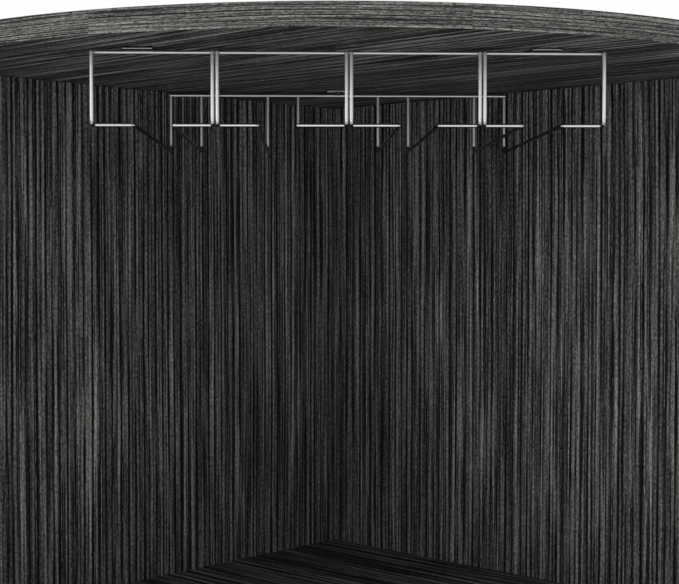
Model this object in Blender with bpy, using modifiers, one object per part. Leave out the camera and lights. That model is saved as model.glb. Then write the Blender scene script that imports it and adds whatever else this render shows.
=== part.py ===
"""Corner bar cabinet.

A tall corner unit of striped dark oak board. Two full-height back panels meet at the inner corner and carry
a top, a display shelf and a counter that share one outline: straight ends along the walls, joined by a round
front. A chromed wire rack under the top holds stemmed glasses by the foot. Below the counter, two end panels
with mitred front edges close a base with bottle cubbies, an adjustable shelf and two doors on butt hinges.

Metres, +Z up. The cabinet stands on z = 0, its front faces -Y, and the origin is under the middle of its box.
"""
import math

import bmesh
import bpy
from mathutils import Matrix, Vector

# Whole cabinet
total_height = 1.800
wall_length = 0.550  # inner face of a back panel, from the inner corner to its free end
front_radius = 0.430
board = 0.018
fit_gap = 0.0003  # between pieces that touch
edge_ease = 0.0005
cut_overrun = 0.002  # how far a cutter runs past the face it enters

# Heights
bay_height = 0.480  # display bay, from shelf to top
counter_height = 0.900
cubby_height = 0.264
plinth_height = 0.070
glide_height = 0.004

# Base
end_panel_setback = 0.020  # from the free end of the wall
end_panel_depth = 0.100  # outer face, square to the wall
plinth_setback = 0.040
divider_board = 0.012
cubby_columns = 4

# Adjustable shelf and its pins
shelf_setback = 0.020
shelf_clearance = 0.001
lowest_pin_row = 0.208  # above the base panel
pin_row_pitch = 0.032
pin_rows = 3
wall_pin_at = 0.200  # from the inner corner
end_pin_at = 0.060  # from the wall
pin_shank_radius = 0.0025
pin_shank_length = 0.0095
pin_head_radius = 0.0035
pin_head_length = 0.008
pin_hole_spare = 0.001  # hole depth past the shank

# Doors
door_board = 0.018
door_gap = 0.003
door_edge_clearance = 0.001  # beside the hinge knuckle
door_lap_bottom = 0.016  # over the edge of the base panel
door_lap_top = 0.016  # over the edge of the cubby floor
door_ease = 0.001

# Hinges
hinge_height = 0.050
hinge_plate_width = 0.022
hinge_plate = 0.0008
knuckle_radius = 0.003
knuckle_count = 3
plate_bite = 0.0008  # how far a plate runs into its knuckle
hinge_pin_radius = 0.0012
pin_clearance = 0.0003
pin_button_radius = 0.0022
pin_button_height = 0.0012
hinge_from_door_end = 0.075

# Pull handles
handle_pitch = 0.128
handle_projection = 0.030
handle_radius = 0.0045
handle_bend = 0.009
handle_from_edge = 0.036
handle_from_door_top = 0.134

# Magnetic catch
catch_width = 0.046
catch_depth = 0.014
catch_height = 0.013
catch_ease = 0.001
strike_width = 0.018
strike_height = 0.012
strike_plate = 0.0008
strike_from_centre = 0.0125

# Glides
glide_radius = 0.008
glide_round = 0.0012
glide_nail_radius = 0.001
glide_nail_length = 0.010
glide_hole_spare = 0.001
wall_glide_from_end = 0.015
end_glide_from_front = 0.012

# Stemware rack
wire_radius = 0.0015
wire_bend = 0.004  # at the foot of a front upright
stub_bend = 0.0025  # at both ends of a stub
rear_bend = 0.0065
elbow_straight = 0.0005  # from the front upright's bend to the stub's
rack_drop = 0.0592  # underside of the top to the centre of the rails
rack_front = 0.496  # inner corner to the front uprights, along the diagonal
rack_rear = 0.170
side_upright_at = 0.1962  # from the middle of the rack
divider_pair_at = 0.1025
upright_pair_pitch = 0.0037
outer_slot_at = 0.150
inner_slot_at = 0.0545
stem_slot = 0.030  # between the centres of a channel's two rails
tab_width = 0.023
tab_length = 0.024
tab_plate = 0.002
left_tab_at = -0.1611  # across from the middle of the rack
right_tab_at = 0.1521
screw_from_tab_end = 0.008
screw_head_radius = 0.0035
screw_head_height = 0.002
screw_crown = 0.0007
screw_radius = 0.00175
screw_bite = 0.012  # thread in the top panel
screw_clearance = 0.0003
screw_hole_spare = 0.001

# Counts and angles
front_arc_steps = 48
bend_steps = 4
wire_resolution = 2
handle_resolution = 4
turned_sides = 16
pilot_sides = 12
sharp_angle = math.radians(30)
flat_angle = math.radians(0.3)
weld_distance = 0.00001

# Plan, worked out from the sizes above
HALF_TURN = math.pi
DIAGONAL = math.sqrt(0.5)
top_depth = (wall_length - front_radius) / DIAGONAL + front_radius
corner_y = (top_depth - board / DIAGONAL) / 2
end_outer = wall_length - end_panel_setback
end_inner = end_outer - board
face_depth = (end_outer + end_panel_depth) * DIAGONAL
base_half_width = end_inner / DIAGONAL - face_depth

# Heights, worked out from the sizes above
top_underside = total_height - board
display_top = top_underside - bay_height
counter_underside = counter_height - board
cubby_floor_top = counter_underside - cubby_height
cubby_floor_underside = cubby_floor_top - board
base_top = plinth_height + board
cross_shelf_middle = cubby_floor_top + cubby_height / 2

# Door and hinge places
hinge_depth = face_depth + fit_gap + hinge_plate + fit_gap / 2
hinge_across = (end_outer + knuckle_radius + fit_gap) / DIAGONAL - hinge_depth
door_back = hinge_depth + fit_gap / 2 + hinge_plate + fit_gap
door_front = door_back + door_board
door_bottom = base_top - door_lap_bottom
door_top = cubby_floor_underside + door_lap_top
door_outer_edge = hinge_across - knuckle_radius - door_edge_clearance

SIDES = {"left": -1, "right": 1}

FINISHES = {  # colour, roughness, metallic
    "board": ((0.030, 0.030, 0.028), 0.48, 0.0),
    "chrome": ((0.82, 0.83, 0.85), 0.10, 1.0),
    "steel": ((0.52, 0.52, 0.53), 0.32, 1.0),
    "black_plastic": ((0.022, 0.022, 0.023), 0.55, 0.0),
}


def clear_scene():
    """Removes every object the file starts with."""
    for thing in list(bpy.data.objects):
        bpy.data.objects.remove(thing, do_unlink=True)


def new_collection(name):
    collection = bpy.data.collections.new(name)
    bpy.context.scene.collection.children.link(collection)
    return collection


clear_scene()
CABINET = new_collection("corner_bar_cabinet")
CUTTERS = new_collection("cutters")


# Placing in plan

def by_wall(side, along, off):
    """Plan point beside a wall: along it from the inner corner, and off its inner face into the room."""
    return Vector((side * (along - off) * DIAGONAL, corner_y - (along + off) * DIAGONAL))


def by_front(across, depth):
    """Plan point by its distance across from the middle and out from the inner corner along the diagonal."""
    return Vector((across, corner_y - depth))


def into_room(side):
    """Unit vector from a wall's inner face into the room."""
    return Vector((-side * DIAGONAL, -DIAGONAL, 0))


def along_wall(side):
    """Unit vector along a wall, away from the inner corner."""
    return Vector((side * DIAGONAL, -DIAGONAL, 0))


def at_height(plan, height):
    return Vector((plan.x, plan.y, height))


# Objects and materials

def finish_for(name, finish):
    colour, roughness, metallic = FINISHES[finish]
    material = bpy.data.materials.new(name + "_" + finish)
    material.use_nodes = True
    shader = material.node_tree.nodes["Principled BSDF"]
    shader.inputs["Base Color"].default_value = (*colour, 1)
    shader.inputs["Roughness"].default_value = roughness
    shader.inputs["Metallic"].default_value = metallic
    return material


def add_piece(name, data, finish, place=(0, 0, 0), turn=None, parent=None):
    """Adds one named piece of the cabinet with its own material, at a world place and turn."""
    piece = bpy.data.objects.new(name, data)
    CABINET.objects.link(piece)
    data.materials.append(finish_for(name, finish))
    matrix = Matrix.Translation(place)
    if turn is not None:
        matrix = matrix @ turn.to_4x4()
    if parent is not None:
        piece.parent = parent
        matrix = parent.matrix_world.inverted() @ matrix
    piece.matrix_basis = matrix
    return piece


def add_cutter(name, data, place, turn=None):
    """Adds a helper solid for a Boolean, which isn't part of the cabinet."""
    cutter = bpy.data.objects.new(name, data)
    CUTTERS.objects.link(cutter)
    matrix = Matrix.Translation(place)
    if turn is not None:
        matrix = matrix @ turn.to_4x4()
    cutter.matrix_basis = matrix
    cutter.hide_render = True
    cutter.display_type = "WIRE"
    return cutter


def boolean(piece, helper, operation="DIFFERENCE"):
    modifier = piece.modifiers.new(helper.name, "BOOLEAN")
    modifier.operation = operation
    modifier.solver = "EXACT"
    modifier.object = helper


def ease(piece, width=edge_ease):
    """Takes the sharpness off a piece's edges."""
    modifier = piece.modifiers.new("eased_edges", "BEVEL")
    modifier.width = width
    modifier.segments = 1
    modifier.limit_method = "ANGLE"
    modifier.angle_limit = sharp_angle


# Shapes

def mesh_from_curve(curve):
    """Turns a curve into a closed mesh with its caps welded on and its flat faces whole."""
    carrier = bpy.data.objects.new(curve.name, curve)
    bpy.context.scene.collection.objects.link(carrier)
    depsgraph = bpy.context.evaluated_depsgraph_get()
    mesh = bpy.data.meshes.new_from_object(carrier.evaluated_get(depsgraph))
    bpy.data.objects.remove(carrier, do_unlink=True)
    shape = bmesh.new()
    shape.from_mesh(mesh)
    bmesh.ops.remove_doubles(shape, verts=shape.verts, dist=weld_distance)
    bmesh.ops.dissolve_limit(shape, angle_limit=flat_angle, verts=shape.verts, edges=shape.edges)
    bmesh.ops.recalc_face_normals(shape, faces=shape.faces)
    shape.to_mesh(mesh)
    shape.free()
    mesh.materials.clear()
    return mesh


def outline_mesh(name, loops, thickness):
    """Flat solid of an outline, half its thickness on each side: one outer loop, then any holes."""
    curve = bpy.data.curves.new(name, "CURVE")
    curve.dimensions = "2D"
    curve.fill_mode = "BOTH"
    curve.extrude = thickness / 2
    for loop in loops:
        spline = curve.splines.new("POLY")
        spline.points.add(len(loop) - 1)
        for point, corner in zip(spline.points, loop):
            point.co = (corner[0], corner[1], 0, 1)
        spline.use_cyclic_u = True
    return mesh_from_curve(curve)


def box_mesh(name, width, depth, height):
    """Box about its own middle."""
    shape = bmesh.new()
    bmesh.ops.create_cube(shape, size=1)
    bmesh.ops.scale(shape, vec=(width, depth, height), verts=shape.verts)
    mesh = bpy.data.meshes.new(name)
    shape.to_mesh(mesh)
    shape.free()
    return mesh


def cylinder_mesh(name, radius, length, sides=turned_sides):
    """Cylinder along Z about its own middle."""
    shape = bmesh.new()
    bmesh.ops.create_cone(shape, cap_ends=True, segments=sides, radius1=radius, radius2=radius, depth=length)
    mesh = bpy.data.meshes.new(name)
    shape.to_mesh(mesh)
    shape.free()
    return mesh


def turned_piece(name, profile, finish, place, turn=None):
    """Solid of revolution about Z, from (radius, height) points that run down its outer side."""
    mesh = bpy.data.meshes.new(name)
    points = [(radius, 0, height) for radius, height in profile]
    mesh.from_pydata(points, [(i, i + 1) for i in range(len(points) - 1)], [])
    piece = add_piece(name, mesh, finish, place, turn)
    spin = piece.modifiers.new("turned", "SCREW")
    spin.axis = "Z"
    spin.angle = 2 * HALF_TURN
    spin.steps = turned_sides
    spin.render_steps = turned_sides
    spin.use_merge_vertices = True
    spin.merge_threshold = weld_distance


def bent_path(corners, bends):
    """Points of a path whose inner corners are rounded, each to its own bend radius."""
    path = [corners[0]]
    for before, corner, after, bend in zip(corners, corners[1:], corners[2:], bends):
        way_in = (before - corner).normalized()
        way_out = (after - corner).normalized()
        half = way_in.angle(way_out) / 2
        centre = corner + (way_in + way_out).normalized() * bend / math.sin(half)
        start = (corner + way_in * bend / math.tan(half) - centre).normalized()
        end = (corner + way_out * bend / math.tan(half) - centre).normalized()
        for step in range(bend_steps + 1):
            path.append(centre + start.slerp(end, step / bend_steps) * bend)
    path.append(corners[-1])
    return path


def wire_curve(name, points, radius, resolution):
    """Round wire along a list of points, with closed ends."""
    curve = bpy.data.curves.new(name, "CURVE")
    curve.dimensions = "3D"
    curve.bevel_depth = radius
    curve.bevel_resolution = resolution
    curve.use_fill_caps = True
    spline = curve.splines.new("POLY")
    spline.points.add(len(points) - 1)
    for point, place in zip(spline.points, points):
        point.co = (*place, 1)
    return curve


# Boards

def plan_board(name, outline, underside, thickness=board):
    """Level board, or upright one of constant plan, from its outline in plan and its underside's height."""
    mesh = outline_mesh(name, [outline], thickness)
    piece = add_piece(name, mesh, "board", (0, 0, underside + thickness / 2))
    ease(piece)
    return piece


def round_front_outline(wall_offset):
    """Plan of the top, display shelf and counter, with their back edges at an offset from the walls' faces."""
    centre = wall_length - front_radius
    outline = [by_wall(1, wall_offset, wall_offset), by_wall(1, wall_length, wall_offset)]
    for step in range(front_arc_steps + 1):
        angle = HALF_TURN / 2 * step / front_arc_steps
        along = centre + front_radius * math.cos(angle)
        off = centre + front_radius * math.sin(angle)
        outline.append(by_wall(1, along, off))
    outline.append(by_wall(1, wall_offset, wall_length))
    return outline


def base_outline(clearance, depth):
    """Plan of a board inside the base: the inner corner, the walls, the end panels and a straight front."""
    reach = end_inner - clearance
    front_off = depth / DIAGONAL - reach
    right = [by_wall(1, reach, clearance), by_wall(1, reach, front_off)]
    left = [by_wall(-1, reach, front_off), by_wall(-1, reach, clearance)]
    return [by_wall(1, clearance, clearance), *right, *left]


def pin_heights():
    return [base_top + lowest_pin_row + row * pin_row_pitch for row in range(pin_rows)]


def drill_pin_row(panel, name, side, plan, direction):
    """Blind holes for shelf pins, one above another, from a face whose outward direction is given."""
    depth = pin_shank_length + pin_hole_spare
    radius = pin_shank_radius + pin_clearance
    turn = direction.to_track_quat("Z", "Y").to_matrix()
    for row, height in enumerate(pin_heights()):
        middle = at_height(plan, height) + direction * (cut_overrun - depth) / 2
        mesh = cylinder_mesh("pin_hole", radius, depth + cut_overrun, pilot_sides)
        boolean(panel, add_cutter(f"{name}_{side}_{row}", mesh, middle, turn))


def drill_glide_hole(panel, name, plan):
    """Blind hole for a glide's nail in the lower edge of an upright board."""
    depth = glide_nail_length + glide_hole_spare
    radius = glide_nail_radius + pin_clearance
    mesh = cylinder_mesh("nail_hole", radius, depth + cut_overrun, pilot_sides)
    middle = at_height(plan, glide_height + (depth - cut_overrun) / 2)
    boolean(panel, add_cutter(name, mesh, middle))


def wall_glide_plan(side):
    return by_wall(side, wall_length - wall_glide_from_end, -board / 2)


def end_glide_plan(side):
    return by_wall(side, (end_outer + end_inner) / 2, end_panel_depth - end_glide_from_front)


def corner_glide_plan():
    return by_wall(-1, -board / 2, -board / 2)


def make_back_panels():
    """Two full-height boards: the left one laps the end of the right one at the corner."""
    height = top_underside - fit_gap - glide_height
    for name, side in SIDES.items():
        start = -board if name == "left" else fit_gap
        outline = [
            by_wall(side, start, -board),
            by_wall(side, wall_length, -board),
            by_wall(side, wall_length, 0),
            by_wall(side, start, 0),
        ]
        panel = plan_board(name + "_back_panel", outline, glide_height, height)
        drill_pin_row(panel, "wall_pin_hole", name, by_wall(side, wall_pin_at, 0), into_room(side))
        drill_glide_hole(panel, "wall_nail_hole_" + name, wall_glide_plan(side))
        if name == "left":
            drill_glide_hole(panel, "corner_nail_hole", corner_glide_plan())


def make_end_panels():
    """Ends of the base, square to the walls, with front edges mitred to the front of the base."""
    height = counter_underside - fit_gap - glide_height
    for name, side in SIDES.items():
        outline = [
            by_wall(side, end_inner, fit_gap),
            by_wall(side, end_outer, fit_gap),
            by_wall(side, end_outer, end_panel_depth),
            by_wall(side, end_inner, end_panel_depth + board),
        ]
        panel = plan_board(name + "_end_panel", outline, glide_height, height)
        drill_pin_row(panel, "end_pin_hole", name, by_wall(side, end_inner, end_pin_at), -along_wall(side))
        drill_glide_hole(panel, "end_nail_hole_" + name, end_glide_plan(side))


def make_round_front_boards():
    """Top over the walls, and display shelf and counter between them."""
    top = plan_board("top_panel", round_front_outline(-board), top_underside)
    depth = screw_bite + screw_hole_spare
    radius = screw_radius + screw_clearance
    for name, plan in rack_screw_plans().items():
        mesh = cylinder_mesh("screw_hole", radius, depth + cut_overrun, pilot_sides)
        middle = at_height(plan, top_underside + (depth - cut_overrun) / 2)
        boolean(top, add_cutter("screw_hole_" + name, mesh, middle))
    plan_board("display_shelf", round_front_outline(fit_gap), display_top - board)
    plan_board("counter_panel", round_front_outline(fit_gap), counter_underside)


def make_base_boards():
    """Base panel, plinth and cubby floor, all between the end panels."""
    base = base_outline(fit_gap, face_depth)
    plan_board("base_panel", base, plinth_height)
    plan_board("cubby_floor", base, cubby_floor_underside)
    front = face_depth - plinth_setback
    back = front - board
    half_front = (end_inner - fit_gap) / DIAGONAL - front
    half_back = half_front + board
    outline = [
        by_front(half_front, front),
        by_front(-half_front, front),
        by_front(-half_back, back),
        by_front(half_back, back),
    ]
    plan_board("plinth_board", outline, glide_height, plinth_height - fit_gap - glide_height)


def divider_places():
    """Across places of the cubby dividers, named from left to right."""
    pitch = 2 * base_half_width / cubby_columns
    names = ["left", "centre", "right"] if cubby_columns == 4 else range(1, cubby_columns)
    return {str(name): pitch * (i + 1) - base_half_width for i, name in enumerate(names)}


def divider_back(across):
    """Depth of a divider's rear edge, where its outer corner meets the wall."""
    return abs(across) + divider_board / 2 + fit_gap / DIAGONAL


def make_cubbies():
    """Upright dividers and a cross shelf, halved together: its slots open forwards, theirs backwards."""
    slot = divider_board / 2 + fit_gap
    outline = base_outline(fit_gap, face_depth)
    front_edge = []
    for across in sorted(divider_places().values(), reverse=True):
        half_way = (divider_back(across) + face_depth) / 2 - fit_gap / 2
        front_edge.append(by_front(across + slot, face_depth))
        front_edge.append(by_front(across + slot, half_way))
        front_edge.append(by_front(across - slot, half_way))
        front_edge.append(by_front(across - slot, face_depth))
    outline[3:3] = front_edge
    shelf = outline_mesh("cubby_cross_shelf", [outline], divider_board)
    ease(add_piece("cubby_cross_shelf", shelf, "board", (0, 0, cross_shelf_middle)))

    low = cubby_floor_top + fit_gap - cross_shelf_middle
    high = counter_underside - fit_gap - cross_shelf_middle
    upright = Matrix.Rotation(HALF_TURN / 2, 3, "Z") @ Matrix.Rotation(HALF_TURN / 2, 3, "X")
    for name, across in divider_places().items():
        back = corner_y - divider_back(across)
        front = corner_y - face_depth
        half_way = (back + front) / 2 - fit_gap / 2
        outline = [(front, low), (back, low), (back, -slot), (half_way, -slot)]
        outline += [(half_way, slot), (back, slot), (back, high), (front, high)]
        mesh = outline_mesh("cubby_divider_" + name, [outline], divider_board)
        ease(add_piece("cubby_divider_" + name, mesh, "board", (across, 0, cross_shelf_middle), upright))


def make_adjustable_shelf():
    """Loose shelf on four pins in the middle row of holes, two in the walls and two in the end panels."""
    pin_height = pin_heights()[pin_rows // 2]
    underside = pin_height + pin_head_radius + fit_gap
    plan_board("adjustable_shelf", base_outline(shelf_clearance, face_depth - shelf_setback), underside)
    profile = [
        (0, fit_gap + pin_head_length),
        (pin_head_radius, fit_gap + pin_head_length),
        (pin_head_radius, fit_gap),
        (pin_shank_radius, fit_gap),
        (pin_shank_radius, -pin_shank_length),
        (0, -pin_shank_length),
    ]
    for name, side in SIDES.items():
        seats = {
            "wall": (by_wall(side, wall_pin_at, 0), into_room(side)),
            "end": (by_wall(side, end_inner, end_pin_at), -along_wall(side)),
        }
        for seat, (plan, direction) in seats.items():
            turn = direction.to_track_quat("Z", "Y").to_matrix()
            turned_piece(f"shelf_pin_{name}_{seat}", profile, "steel", at_height(plan, pin_height), turn)


# Doors

def make_hinge_leaf_meshes():
    """Frame leaf and door leaf of a butt hinge about the pin's axis, each as a finished mesh.

    The plates run to the left of the pin, the frame's behind its axis and the door's before it. The frame
    leaf has the end knuckles and the door leaf the middle one.
    """
    knuckle = hinge_height / knuckle_count
    plate_end = knuckle_radius - plate_bite
    bore = cylinder_mesh("hinge_bore", hinge_pin_radius + pin_clearance, hinge_height + 2 * cut_overrun)
    bore = add_cutter("hinge_bore", bore, (0, 0, 0))
    sweep_radius = knuckle_radius + fit_gap
    end_height = knuckle + cut_overrun
    end_middle = knuckle / 2 - fit_gap / 2 + end_height / 2
    plans = {
        "frame": (1, {-knuckle: knuckle - fit_gap, knuckle: knuckle - fit_gap}, {0: knuckle + fit_gap}),
        "door": (-1, {0: knuckle - fit_gap}, {-end_middle: end_height, end_middle: end_height}),
    }
    meshes = {}
    for name, (way, own, other) in plans.items():
        plate = box_mesh(name, hinge_plate_width - plate_end, hinge_plate, hinge_height)
        middle = (-(hinge_plate_width + plate_end) / 2, way * (hinge_plate + fit_gap) / 2, 0)
        leaf = add_cutter(name + "_leaf_build", plate, middle)
        for height, length in other.items():
            sweep = cylinder_mesh("knuckle_sweep", sweep_radius, length)
            boolean(leaf, add_cutter(f"{name}_sweep_{height:.3f}", sweep, (0, 0, height)))
        for height, length in own.items():
            barrel = cylinder_mesh("knuckle", knuckle_radius, length)
            boolean(leaf, add_cutter(f"{name}_knuckle_{height:.3f}", barrel, (0, 0, height)), "UNION")
        boolean(leaf, bore)
        depsgraph = bpy.context.evaluated_depsgraph_get()
        mesh = bpy.data.meshes.new_from_object(leaf.evaluated_get(depsgraph))
        mesh.transform(leaf.matrix_world)
        meshes[name] = mesh
    return meshes


def make_hinges(name, door_axis, leaf_meshes):
    """Two hinges of one door. The left door's are the same hinge, turned over."""
    side = SIDES[name]
    turn = Matrix.Rotation(0 if side > 0 else HALF_TURN, 3, "Y")
    top = hinge_height / 2 + fit_gap + pin_button_height
    button_under = hinge_height / 2 + fit_gap
    profile = [
        (0, top),
        (pin_button_radius, top),
        (pin_button_radius, button_under),
        (hinge_pin_radius, button_under),
        (hinge_pin_radius, -hinge_height / 2),
        (0, -hinge_height / 2),
    ]
    plan = by_front(side * hinge_across, hinge_depth)
    heights = {"lower": door_bottom + hinge_from_door_end, "upper": door_top - hinge_from_door_end}
    for level, height in heights.items():
        place = at_height(plan, height)
        label = f"{name}_{level}_hinge"
        add_piece(label + "_frame_leaf", leaf_meshes["frame"].copy(), "steel", place, turn)
        add_piece(label + "_door_leaf", leaf_meshes["door"].copy(), "steel", place, turn, door_axis)
        turned_piece(label + "_pin", profile, "steel", place)


def make_door(name, leaf_meshes):
    """One door with its handle, strike plate and hinges, hung on an empty at its hinge axis."""
    side = SIDES[name]
    axis = bpy.data.objects.new(name + "_door_axis", None)
    CABINET.objects.link(axis)
    axis.location = at_height(by_front(side * hinge_across, hinge_depth), door_bottom)
    bpy.context.view_layer.update()

    width = door_outer_edge - door_gap / 2
    height = door_top - door_bottom
    across = side * (door_outer_edge + door_gap / 2) / 2
    middle = at_height(by_front(across, (door_back + door_front) / 2), (door_top + door_bottom) / 2)
    panel = box_mesh(name + "_door", width, door_board, height)
    ease(add_piece(name + "_door", panel, "board", middle, None, axis), door_ease)

    handle_across = side * (door_gap / 2 + handle_from_edge)
    foot = at_height(by_front(handle_across, door_front + fit_gap), door_top - handle_from_door_top)
    out = Vector((0, -handle_projection, 0))
    rise = Vector((0, 0, handle_pitch / 2))
    path = bent_path([-rise, out - rise, out + rise, rise], [handle_bend, handle_bend])
    pull = wire_curve(name + "_handle", path, handle_radius, handle_resolution)
    add_piece(name + "_handle", pull, "chrome", foot, None, axis)

    strike_depth = door_back - fit_gap - strike_plate / 2
    catch_middle = cubby_floor_underside - fit_gap - catch_height / 2
    place = at_height(by_front(side * strike_from_centre, strike_depth), catch_middle)
    strike = box_mesh(name + "_strike_plate", strike_width, strike_plate, strike_height)
    add_piece(name + "_strike_plate", strike, "steel", place, None, axis)
    make_hinges(name, axis, leaf_meshes)


def make_catch():
    """Double magnetic catch under the cubby floor, just behind the strike plates."""
    front = door_back - fit_gap - strike_plate - fit_gap
    plan = by_front(0, front - catch_depth / 2)
    place = at_height(plan, cubby_floor_underside - fit_gap - catch_height / 2)
    body = box_mesh("magnetic_catch", catch_width, catch_depth, catch_height)
    ease(add_piece("magnetic_catch", body, "black_plastic", place), catch_ease)


def make_glides():
    """Nail-on glides under the corner, the free ends of the walls and the front of the end panels."""
    profile = [
        (0, glide_height + glide_nail_length),
        (glide_nail_radius, glide_height + glide_nail_length),
        (glide_nail_radius, glide_height - fit_gap),
        (glide_radius, glide_height - fit_gap),
        (glide_radius, glide_round),
        (glide_radius - glide_round, 0),
        (0, 0),
    ]
    plans = {"corner": corner_glide_plan()}
    for name, side in SIDES.items():
        plans[name + "_wall"] = wall_glide_plan(side)
        plans[name + "_end"] = end_glide_plan(side)
    for name, plan in plans.items():
        turned_piece("glide_" + name, profile, "black_plastic", at_height(plan, 0))


# Stemware rack

def rack_tabs():
    """Each fixing tab: the middle of its width, its bar end, and its way from there, forward or back."""
    front_end = rack_front + wire_radius
    rear_end = rack_rear + wire_radius + fit_gap
    return {
        "left": (left_tab_at, front_end, -1),
        "right": (right_tab_at, front_end, -1),
        "rear": (0, rear_end, 1),
    }


def rack_screw_plans():
    plans = {}
    for name, (across, bar_end, way) in rack_tabs().items():
        plans[name] = by_front(across, bar_end + way * (tab_length - screw_from_tab_end))
    return plans


def make_rack_wires():
    """Front and rear bars, and eight rails bent from one wire each.

    A rail comes down from the front bar, turns back, turns sideways into a short stub, turns back again and
    runs to the rear bar, where it turns up.
    """
    bar_height = top_underside - tab_plate - 2 * fit_gap - wire_radius
    rail_height = top_underside - rack_drop
    upright_top = bar_height + wire_radius
    step = 2 * wire_radius + fit_gap
    stub_depth = rack_front - wire_bend - elbow_straight - stub_bend
    bends = [wire_bend, stub_bend, stub_bend, rear_bend]
    bars = {
        "front": (side_upright_at + wire_radius, rack_front - step),
        "rear": (outer_slot_at + stem_slot / 2 + wire_radius, rack_rear + step),
    }
    for name, (half, depth) in bars.items():
        ends = [Vector((-half, 0, 0)), Vector((half, 0, 0))]
        bar = wire_curve(f"rack_{name}_bar", ends, wire_radius, wire_resolution)
        add_piece(f"rack_{name}_bar", bar, "chrome", at_height(by_front(0, depth), bar_height))

    upright_and_rail = [
        (side_upright_at, outer_slot_at + stem_slot / 2),
        (divider_pair_at + upright_pair_pitch / 2, outer_slot_at - stem_slot / 2),
        (divider_pair_at - upright_pair_pitch / 2, inner_slot_at + stem_slot / 2),
        (upright_pair_pitch / 2, inner_slot_at - stem_slot / 2),
    ]
    for name, side in SIDES.items():
        for number, (upright_at, rail_at) in enumerate(upright_and_rail, 1):
            corners = [
                at_height(by_front(side * upright_at, rack_front), upright_top),
                at_height(by_front(side * upright_at, rack_front), rail_height),
                at_height(by_front(side * upright_at, stub_depth), rail_height),
                at_height(by_front(side * rail_at, stub_depth), rail_height),
                at_height(by_front(side * rail_at, rack_rear), rail_height),
                at_height(by_front(side * rail_at, rack_rear), upright_top),
            ]
            start = corners[0]
            path = bent_path([corner - start for corner in corners], bends)
            rail = wire_curve(f"rack_rail_{name}_{number}", path, wire_radius, wire_resolution)
            add_piece(f"rack_rail_{name}_{number}", rail, "chrome", start)


def circle(radius, centre):
    """Outline of a round hole."""
    turns = [2 * HALF_TURN * i / turned_sides for i in range(turned_sides)]
    return [centre + radius * Vector((math.cos(turn), math.sin(turn))) for turn in turns]


def make_rack_fixings():
    """Flat tabs over the bars and the screws that hold them to the top."""
    tab_middle = top_underside - fit_gap - tab_plate / 2
    head_top = top_underside - tab_plate - 2 * fit_gap
    head_under = head_top - screw_head_height
    shank_end = top_underside + screw_bite
    profile = [
        (0, shank_end - head_top),
        (screw_radius, shank_end - head_top),
        (screw_radius, 0),
        (screw_head_radius, 0),
        (screw_head_radius, head_under + screw_crown - head_top),
        (screw_head_radius - screw_crown, head_under - head_top),
        (0, head_under - head_top),
    ]
    for name, (across, bar_end, way) in rack_tabs().items():
        far_end = bar_end + way * tab_length
        rim = [
            by_front(across - tab_width / 2, bar_end),
            by_front(across + tab_width / 2, bar_end),
            by_front(across + tab_width / 2, far_end),
            by_front(across - tab_width / 2, far_end),
        ]
        hole = circle(screw_radius + screw_clearance, rack_screw_plans()[name])
        tab = outline_mesh("rack_tab_" + name, [rim, hole], tab_plate)
        add_piece("rack_tab_" + name, tab, "chrome", (0, 0, tab_middle))
    for name, plan in rack_screw_plans().items():
        turned_piece("rack_screw_" + name, profile, "steel", at_height(plan, head_top))


make_back_panels()
make_end_panels()
make_round_front_boards()
make_base_boards()
make_cubbies()
make_adjustable_shelf()
leaf_meshes = make_hinge_leaf_meshes()
for door in SIDES:
    make_door(door, leaf_meshes)
make_catch()
make_glides()
make_rack_wires()
make_rack_fixings()
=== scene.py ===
"""Looks of a corner bar cabinet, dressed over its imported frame.

Metres, +Z up. The cabinet stands on z = 0 with its round front to -Y. A plan place is given by how far it is
along a wall from the inner corner and how far off the wall, or by its distance along the round front. New
surfaces are numpy grids of points. Finishes are nodes on Object coordinates or on a piece's UV map.
"""
import math

import bpy
import numpy as np
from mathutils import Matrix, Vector


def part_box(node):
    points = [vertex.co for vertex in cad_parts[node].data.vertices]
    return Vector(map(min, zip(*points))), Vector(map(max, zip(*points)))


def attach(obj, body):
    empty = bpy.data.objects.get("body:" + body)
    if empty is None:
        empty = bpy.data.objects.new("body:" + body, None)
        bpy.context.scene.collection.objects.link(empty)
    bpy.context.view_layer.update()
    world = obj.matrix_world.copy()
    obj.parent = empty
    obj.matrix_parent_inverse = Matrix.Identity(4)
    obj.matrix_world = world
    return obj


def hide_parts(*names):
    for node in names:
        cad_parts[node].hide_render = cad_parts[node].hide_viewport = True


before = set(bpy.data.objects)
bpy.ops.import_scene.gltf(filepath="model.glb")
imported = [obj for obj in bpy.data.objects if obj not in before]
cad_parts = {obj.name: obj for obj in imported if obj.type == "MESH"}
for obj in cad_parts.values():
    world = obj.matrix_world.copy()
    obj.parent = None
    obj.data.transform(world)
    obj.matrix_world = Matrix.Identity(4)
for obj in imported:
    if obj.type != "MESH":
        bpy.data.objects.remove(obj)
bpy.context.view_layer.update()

DIAGONAL = math.sqrt(0.5)
MILLIMETRE = 0.001
UP = np.array([0.0, 0.0, 1.0])
SIDES = {"left": -1, "right": 1}

# Plan of the cabinet
wall_length = 0.550  # from the inner corner to the round front
front_radius = 0.430
board = 0.018
fit_gap = 0.0003  # between pieces that touch
straight_end = wall_length - front_radius
arc_length = front_radius * math.pi / 2
front_length = 2 * straight_end + arc_length
top_depth = straight_end / DIAGONAL + front_radius
corner_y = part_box("top_panel")[0].y + top_depth

# Boards
arris = 0.0009
arris_steps = 4
side_ring_share = 1.6  # of an arris, from the board's face to the ring that keeps its side flat
arc_steps = 144

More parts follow.
